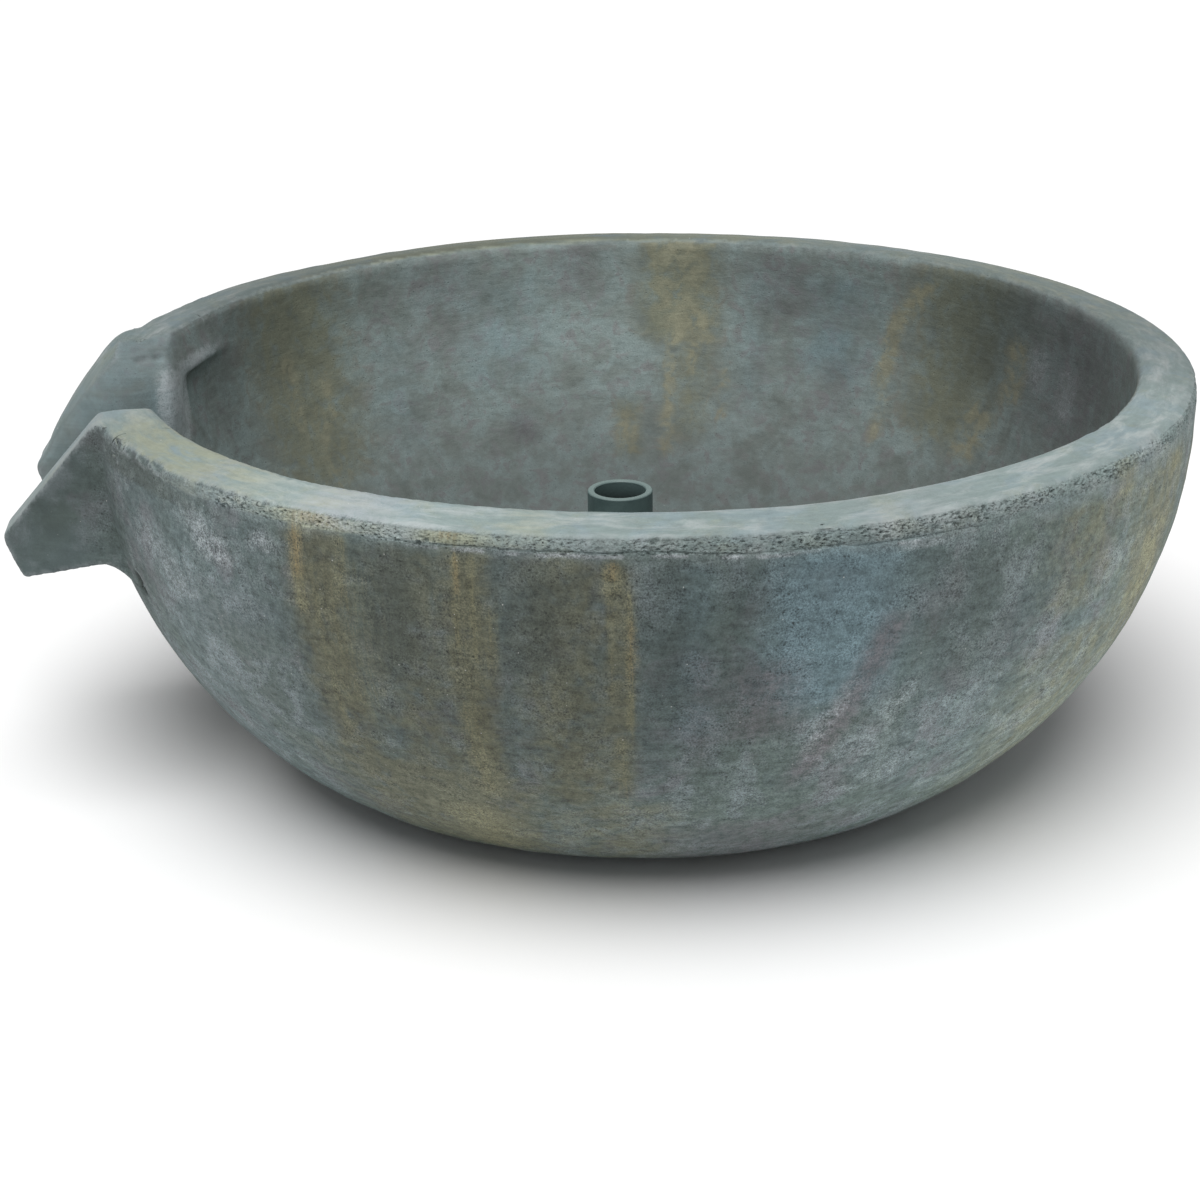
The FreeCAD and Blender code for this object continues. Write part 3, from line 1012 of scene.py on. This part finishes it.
class Shader:
    """The nodes of a material or world, with short ways to add more."""

    def __init__(self, owner):
        owner.use_nodes = True
        self.owner = owner
        self.tree = owner.node_tree

    def feed(self, socket, value):
        if isinstance(value, bpy.types.NodeSocket):
            self.tree.links.new(value, socket)
        elif socket.type == "RGBA":
            socket.default_value = (*value, 1.0)
        else:
            socket.default_value = value

    def add(self, kind, settings=None, inputs=None):
        node = self.tree.nodes.new(kind)
        for name, value in (settings or {}).items():
            setattr(node, name, value)
        for name, value in (inputs or {}).items():
            self.feed(node.inputs[name], value)
        return node

    def place(self):
        return self.add("ShaderNodeTexCoord").outputs["Object"]

    def math(self, operation, one, other=0.0):
        return self.add("ShaderNodeMath", {"operation": operation}, {0: one, 1: other}).outputs[0]

    def plus(self, one, other):
        return self.math("ADD", one, other)

    def minus(self, one, other):
        return self.math("SUBTRACT", one, other)

    def larger(self, one, other):
        return self.math("MAXIMUM", one, other)

    def times(self, *values):
        total = values[0]
        for value in values[1:]:
            total = self.math("MULTIPLY", total, value)
        return total

    def parts(self, vector):
        return self.add("ShaderNodeSeparateXYZ", None, {0: vector}).outputs[:3]

    def vector(self, x=0.0, y=0.0, z=0.0):
        return self.add("ShaderNodeCombineXYZ", None, {0: x, 1: y, 2: z}).outputs[0]

    def length(self, vector):
        return self.add("ShaderNodeVectorMath", {"operation": "LENGTH"}, {0: vector}).outputs["Value"]

    def noise(self, vector, scale, detail, roughness, distortion=0.0):
        inputs = {"Vector": vector, "Scale": scale, "Detail": detail, "Roughness": roughness}
        inputs["Distortion"] = distortion
        return self.add("ShaderNodeTexNoise", None, inputs).outputs["Fac"]

    def dots(self, vector, scale, share, radius, smallest=0.3, core=0.6):
        """1 in round dots of several sizes, in a share of the cells of a scattered pattern."""
        cells = self.add("ShaderNodeTexVoronoi", None, {"Vector": vector, "Scale": scale})
        chance = self.add("ShaderNodeSeparateColor", None, {0: cells.outputs["Color"]}).outputs[0]
        size = self.step(chance, 1.0 - share, 1.0, smallest * radius, radius)
        near = self.step(self.math("DIVIDE", cells.outputs["Distance"], size), core, 1.0, 1.0, 0.0)
        return self.times(near, self.math("GREATER_THAN", chance, 1.0 - share))

    def step(self, value, low, high, start=0.0, end=1.0):
        settings = {"interpolation_type": "SMOOTHSTEP"}
        inputs = {"Value": value, "From Min": low, "From Max": high, "To Min": start, "To Max": end}
        return self.add("ShaderNodeMapRange", settings, inputs).outputs[0]

    def mix(self, share, one, other):
        node = self.add("ShaderNodeMix", {"data_type": "RGBA"})
        for index, value in ((0, share), (6, one), (7, other)):
            self.feed(node.inputs[index], value)
        return node.outputs[2]

    def scaled(self, colour, factor):
        node = self.add("ShaderNodeVectorMath", {"operation": "SCALE"}, {0: colour, "Scale": factor})
        return node.outputs[0]

    def share(self, name):
        return self.add("ShaderNodeAttribute", {"attribute_name": name}).outputs["Fac"]

    def bump(self, height, distance, under=None):
        inputs = {"Height": height, "Distance": distance, "Strength": 1.0}
        if under is not None:
            inputs["Normal"] = under
        return self.add("ShaderNodeBump", None, inputs).outputs["Normal"]

    def finish(self, colour, roughness, normal=None, shine=0.5):
        surface = self.tree.nodes["Principled BSDF"].inputs
        self.feed(surface["Base Color"], colour)
        self.feed(surface["Roughness"], roughness)
        self.feed(surface["Specular IOR Level"], shine)
        if normal is not None:
            self.feed(surface["Normal"], normal)
        return self.owner


# Colours of the patina and the pipe, as plain surface colours; a few stand for painted shade, highlights
# and glints, as said where they are used
slate = (0.092, 0.122, 0.123)
green_grey = (0.088, 0.116, 0.107)
blue_grey = (0.128, 0.156, 0.160)
olive = (0.108, 0.112, 0.078)
ochre = (0.166, 0.162, 0.100)
rust = (0.250, 0.192, 0.100)
dark_green = (0.060, 0.074, 0.067)
pore_shade = (0.022, 0.026, 0.025)
chalk = (0.300, 0.325, 0.340)
plum_grey = (0.108, 0.104, 0.112)
mauve_grey = (0.117, 0.125, 0.133)
blue = (0.119, 0.178, 0.200)
inner_grey = (0.164, 0.192, 0.182)
inner_blue = (0.176, 0.218, 0.214)
inner_plum = (0.148, 0.158, 0.158)
inner_shade = (0.124, 0.142, 0.130)
inner_olive = (0.142, 0.150, 0.110)
inner_ochre = (0.206, 0.201, 0.142)
rim_green = (0.235, 0.295, 0.288)
rim_white = (0.380, 0.425, 0.422)
rim_blue = (0.245, 0.315, 0.335)
cream = (0.305, 0.330, 0.245)
lime_speck_and_glint = (0.600, 0.600, 0.580)
pipe_grey = (0.086, 0.132, 0.129)
pipe_shade = (0.060, 0.096, 0.095)
pipe_top_highlight = (0.130, 0.182, 0.174)
bore_shade = (0.012, 0.018, 0.017)


# Stretch of the noises on the wall, the rim and the chipped band, and where the bowl's floor ends
run_stretch = 0.07
stroke_stretch = 0.22
chip_stretch = 0.42
floor_heights = (0.08, 0.14)


def concrete():
    """Cast concrete under a stained patina: mottled greys, ochre runs, chalky scuffs, pores."""
    shader = Shader(bpy.data.materials.new("patinated_concrete"))
    place = shader.place()
    mix, step, pattern = shader.mix, shader.step, shader.noise
    times, plus, minus, larger = shader.times, shader.plus, shader.minus, shader.larger
    x, y, z = shader.parts(place)
    arc = times(shader.math("ARCTAN2", y, x), rim_radius)
    stroke = times(arc, stroke_stretch)
    down_wall = shader.vector(arc, z=times(z, run_stretch))
    along_wall = shader.vector(stroke, z=z)
    along_rim = shader.vector(stroke, shader.length(place))
    chipped = shader.vector(times(arc, chip_stretch), z=z)

    broad = pattern(place, 9.0, 4.0, 0.6, 0.4)
    blush = pattern(place, 24.0, 4.0, 0.62, 0.5)
    cloud = pattern(place, 34.0, 5.0, 0.62, 0.4)
    patch = pattern(place, 75.0, 4.0, 0.6, 0.5)
    mottle = pattern(place, 170.0, 3.0, 0.70)
    grain = pattern(place, 850.0, 2.0, 0.80)
    wash = pattern(down_wall, 45.0, 4.0, 0.62, 0.3)
    run = pattern(down_wall, 360.0, 4.0, 0.68, 0.1)
    ripple = pattern(along_wall, 230.0, 3.0, 0.65, 0.3)
    brush = pattern(along_rim, 110.0, 5.0, 0.66, 0.4)
    strokes = pattern(along_rim, 300.0, 4.0, 0.70, 0.3)
    chips = pattern(chipped, 900.0, 3.0, 0.65, 0.4)
    fibres = plus(times(run, 0.55), times(grain, 0.45))
    stipple = plus(times(mottle, 0.45), times(grain, 0.55))

    rim = shader.share("rim")
    inside = shader.share("inside")
    band = shader.share("band")
    sand = shader.share("sand")
    off_inside = minus(1.0, inside)
    off_rim = minus(1.0, rim)
    rough = larger(sand, band)
    off_floor = minus(1.0, times(inside, step(z, *floor_heights, 1.0, 0.0)))

    def stain(colour, name, tint, ragged, strength, spread):
        """Lays a tint where its share, roughened by noise, is high."""
        uneven = plus(times(minus(ragged, 0.5), spread), 1.0)
        level = times(shader.share(name), uneven)
        return mix(step(level, 0.05, 0.90, 0.0, strength), colour, tint)

    def off_middle(value, *strengths):
        return times(minus(value, 0.5), *strengths)

    # Ground colours of the wall, the inside and the rim
    wall = mix(step(broad, 0.38, 0.62), slate, green_grey)
    wall = mix(step(cloud, 0.44, 0.66), wall, blue_grey)
    wall = mix(step(blush, 0.50, 0.68, 0.0, 0.7), wall, mauve_grey)
    wall = mix(step(wash, 0.50, 0.70, 0.0, 0.6), wall, green_grey)
    inner = mix(step(cloud, 0.38, 0.60), inner_grey, inner_blue)
    inner = mix(step(patch, 0.48, 0.66), inner, inner_plum)
    inner = mix(step(blush, 0.47, 0.64, 0.0, 0.55), inner, inner_shade)
    wall = mix(inside, wall, inner)
    top = mix(step(blush, 0.48, 0.62, 0.0, 0.8), rim_green, rim_blue)
    top = mix(step(brush, 0.42, 0.72), top, rim_white)
    top = mix(step(cloud, 0.54, 0.68, 0.0, 0.35), top, cream)

    # Stains, one over the other; the dark and pale shares also lay painted shade and painted highlights
    colour = stain(wall, "blue", blue, cloud, 0.85, 1.6)
    colour = stain(colour, "olive", mix(inside, olive, inner_olive), patch, 0.92, 2.4)
    colour = stain(colour, "dark", dark_green, patch, 0.75, 1.6)
    colour = stain(colour, "plum", plum_grey, mottle, 0.80, 2.4)
    colour = mix(rim, colour, top)
    colour = stain(colour, "cream", cream, brush, 0.85, 4.5)
    ragged = plus(times(patch, inside), times(fibres, off_inside))
    colour = stain(colour, "ochre", mix(inside, ochre, inner_ochre), ragged, 0.78, 4.5)
    colour = stain(colour, "rust", rust, fibres, 0.70, 4.5)
    colour = stain(colour, "pale", chalk, stipple, 0.65, 4.5)
    # Outer edges lightened towards chalk, as wear and as a painted highlight.
    worn_and_lit = times(shader.share("wear_and_highlight"), step(mottle, 0.35, 0.6, 0.05, 0.35))
    colour = mix(worn_and_lit, colour, chalk)

    # Light and dark of the grain, from broad clouds to chips
    level = times(minus(plus(patch, cloud), 1.0), off_rim, 0.50)
    level = plus(level, off_middle(mottle, sand, 1.4))
    level = plus(level, off_middle(grain, sand, step(cloud, 0.40, 0.62, 1.4, 3.2)))
    rippled = times(plus(sand, times(inside, 0.4)), off_floor)
    level = plus(level, off_middle(ripple, rippled, 0.9))
    level = plus(level, times(minus(chips, 0.51), band, 1.6))
    level = plus(level, off_middle(strokes, rim, 0.55))
    level = larger(plus(1.0, level), 0.25)
    colour = shader.scaled(colour, shader.share("tone"))
    colour = shader.scaled(colour, level)

    # Pores and broken crumbs of the band, painted near-black as the shade in them, and pale specks,
    # partly lime and partly painted glints
    holes = times(shader.dots(place, 330.0, 0.45, 0.30), rough, step(cloud, 0.40, 0.60, 0.25, 1.0))
    broken = step(chips, 0.34, 0.43, 1.0, 0.0)
    crumbs = times(broken, band, step(cloud, 0.40, 0.58, 0.3, 1.0))
    gaps = larger(holes, crumbs)
    # Pores and crumbs painted near-black as their shade.
    colour = mix(times(gaps, 0.56), colour, pore_shade)
    sparkle = larger(sand, times(rim, step(cloud, 0.48, 0.56)))
    # Pale specks: lime in the concrete and painted glints.
    specks_and_glints = times(shader.dots(place, 360.0, 0.04, 0.20), sparkle)
    colour = mix(times(specks_and_glints, 0.6), colour, lime_speck_and_glint)

    # Fine relief
    normal = shader.bump(times(patch, rough), 0.0012)
    normal = shader.bump(times(ripple, sand, off_floor), 0.0009, normal)
    normal = shader.bump(times(mottle, rough), 0.0012, normal)
    normal = shader.bump(times(grain, rough), 0.0007, normal)
    normal = shader.bump(minus(1.0, gaps), 0.0008, normal)
    roughness = step(grain, 0.2, 0.8, 0.66, 0.88)
    return shader.finish(colour, roughness, normal, 0.28)


# The pipe: its wall's inner edge in shares of its radius, and depths from its top of the painted shade in
# the bore and of the painted highlight on the end face
bore_edge = (0.80, 0.83)
bore_shade_depth = 0.018
top_highlight_depth = 0.0004


def pipe_plastic():
    """Weathered grey plastic, darker inside the bore with painted shade, and with a painted highlight on
    its top end face.
    """
    shader = Shader(bpy.data.materials.new("grey_pipe"))
    place = shader.place()
    mix, step = shader.mix, shader.step
    pipe_low, pipe_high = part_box("standpipe")
    centre = (pipe_low + pipe_high) / 2
    outer_radius = (pipe_high.x - pipe_low.x) / 2
    x, y, height = shader.parts(place)
    off_axis = shader.length(shader.vector(shader.minus(x, centre.x), shader.minus(y, centre.y)))
    spread = shader.noise(place, 60.0, 5.0, 0.6)
    fine = shader.noise(place, 500.0, 3.0, 0.6)
    colour = mix(step(spread, 0.3, 0.7), pipe_shade, pipe_grey)
    # Painted shade: the bore darkens below its top.
    bore = mix(step(height, pipe_high.z - bore_shade_depth, pipe_high.z), bore_shade, pipe_grey)
    in_wall = step(off_axis, bore_edge[0] * outer_radius, bore_edge[1] * outer_radius)
    colour = mix(in_wall, bore, colour)
    end_face = shader.math("GREATER_THAN", height, pipe_high.z - top_highlight_depth)
    # Painted highlight on the pipe's top end face.
    colour = mix(end_face, colour, pipe_top_highlight)
    normal = shader.bump(fine, 0.0002)
    return shader.finish(colour, step(spread, 0.3, 0.7, 0.45, 0.60), normal, 0.4)


# Hidden fittings: material, darker and lighter colour, mottling's scale, least roughness, grain's depth
fittings = {
    "flange_gasket": ("black_rubber", (0.020, 0.020, 0.021), (0.034, 0.034, 0.035), 90.0, 0.70, 0.0001),
    "flange_sealant": ("grey_sealant", (0.250, 0.262, 0.262), (0.310, 0.320, 0.318), 80.0, 0.45, 0.0003),
    "thrust_washer": ("natural_nylon", (0.640, 0.630, 0.580), (0.720, 0.710, 0.660), 70.0, 0.50, 0.0001),
    "spout_dowels": ("stainless_rod", (0.480, 0.480, 0.470), (0.600, 0.600, 0.585), 120.0, 0.30, 0.0001),
}
roughness_spread = 0.15
grain_fineness = 9.0


def plain(name, low, high, scale, roughness, depth):
    """Mottled material of a hidden fitting."""
    shader = Shader(bpy.data.materials.new(name))
    place = shader.place()
    spread = shader.noise(place, scale, 5.0, 0.6)
    colour = shader.mix(shader.step(spread, 0.3, 0.7), low, high)
    normal = shader.bump(shader.noise(place, scale * grain_fineness, 3.0, 0.6), depth)
    rougher = shader.step(spread, 0.3, 0.7, roughness, roughness + roughness_spread)
    return shader.finish(colour, rougher, normal)


def add_piece(name, mesh, material, node):
    mesh.name = name
    mesh.materials.clear()
    mesh.materials.append(material)
    mesh.shade_smooth()
    mesh.set_sharp_from_angle(angle=math.radians(sharp_angle))
    piece = add_object(name, mesh)
    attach(piece, "root")
    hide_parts(node)


def build_castings():
    """Bowl, spout and the mortar joint between them, cut from one continuous surface."""
    union = joined_nodes("bowl_shell", "spout", "spout_bedding")
    surface = BVHTree.FromPolygons([v.co for v in union.vertices], [p.vertices for p in union.polygons])
    pits = make_pits()
    margin = Vector((crop_margin, crop_margin, crop_margin))
    seat_low = Vector((spout_low.x - crop_margin, joint_low.y, joint_low.z))
    seat_high = Vector((joint_high.x + joint_back_margin, joint_high.y, bowl_high.z + crop_margin))
    seat = block(seat_low, seat_high)
    inset = Vector((0.0, bedding_thickness, 0.0))
    core = block(seat_low + inset + Vector((0, 0, bedding_thickness)), seat_high - inset)

    bowl = remeshed(union.copy(), bowl_voxel)
    for chosen in (on_narrow_runs, on_joint, on_band):
        refine(bowl, chosen)
        refine(bowl, chosen)
    for chosen in (on_seam, near_pits(pits), on_ledge, on_ledge):
        refine(bowl, chosen)
    spout = remeshed(union, spout_voxel)
    spout = combined(spout, block(seat_low - margin, seat_high + margin), "INTERSECT")
    snap(spout, surface)
    soften(spout)
    snap(bowl, surface)
    for mesh in (bowl, spout):
        raise_ledge(mesh)
        round_mouth(mesh)
        shape_far_cheek(mesh)
        make_uneven(mesh)
        paint(mesh)
        press_hollow(mesh)
        press_seam(mesh)
        press_pits(mesh, pits)
    whole_bowl = bowl.copy()
    whole_spout = spout.copy()
    bowl = combined(bowl, seat.copy(), "DIFFERENCE")
    joint = combined(spout.copy(), seat, "INTERSECT")
    joint = combined(joint, core.copy(), "DIFFERENCE")
    spout = combined(spout, core, "INTERSECT")
    mend_shares(bowl, whole_bowl)
    mend_shares(spout, whole_spout)
    mend_shares(joint, whole_spout)

    material = concrete()
    add_piece("bowl_casting", bowl, material, "bowl_shell")
    add_piece("spout_casting", spout, material, "spout")
    add_piece("spout_mortar_joint", joint, material, "spout_bedding")


def dress_fittings():
    pipe = pipe_plastic()
    finishes = {name: pipe for name in ("standpipe", "bulkhead_body", "locknut")}
    finishes.update({name: plain(*settings) for name, settings in fittings.items()})
    for name, material in finishes.items():
        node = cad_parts[name]
        node.data.materials.clear()
        node.data.materials.append(material)


def add_camera():
    camera = bpy.data.cameras.new("camera")
    camera.lens = camera_lens
    holder = add_object("camera", camera)
    turn = camera_direction.to_track_quat("-Z", "Y") @ Quaternion((0, 0, 1), math.radians(-camera_roll))
    holder.matrix_world = Matrix.Translation(camera_position) @ turn.to_matrix().to_4x4()
    bpy.context.scene.camera = holder


# White surround, one broad lamp high on the front left, and a pale floor
ambient_strength = 0.26
lamp_strength = 3.15
lamp_angle = 50.0
lamp_direction = Vector((0.16, 0.33, -1.0))
floor_radius = 12.0
floor_sides = 96
floor_colour = (0.89, 0.89, 0.89)
floor_roughness = 0.9


def add_light():
    """The surround is full white only where the camera sees it, directly or through gloss and glass."""
    surround = Shader(bpy.data.worlds.new("surround"))
    path = surround.add("ShaderNodeLightPath").outputs
    seen = surround.larger(path["Is Camera Ray"], path["Is Glossy Ray"])
    seen = surround.larger(seen, path["Is Transmission Ray"])
    backdrop = surround.tree.nodes["Background"].inputs
    surround.feed(backdrop["Color"], (1.0, 1.0, 1.0))
    surround.feed(backdrop["Strength"], surround.step(seen, 0.0, 1.0, ambient_strength, 1.0))
    bpy.context.scene.world = surround.owner
    lamp = bpy.data.lights.new("broad_lamp", "SUN")
    lamp.energy = lamp_strength
    lamp.angle = math.radians(lamp_angle)
    holder = add_object("broad_lamp", lamp)
    holder.rotation_euler = lamp_direction.to_track_quat("-Z", "Y").to_euler()


def add_floor():
    builder = bmesh.new()
    bmesh.ops.create_circle(builder, cap_ends=True, segments=floor_sides, radius=floor_radius)
    mesh = mesh_of(builder, "floor")
    shader = Shader(bpy.data.materials.new("pale_floor"))
    mesh.materials.append(shader.finish(floor_colour, floor_roughness, None, 0.0))
    add_object("floor", mesh)


build_castings()
dress_fittings()
add_camera()
add_light()
add_floor()
bpy.context.scene.view_settings.view_transform = "Standard"
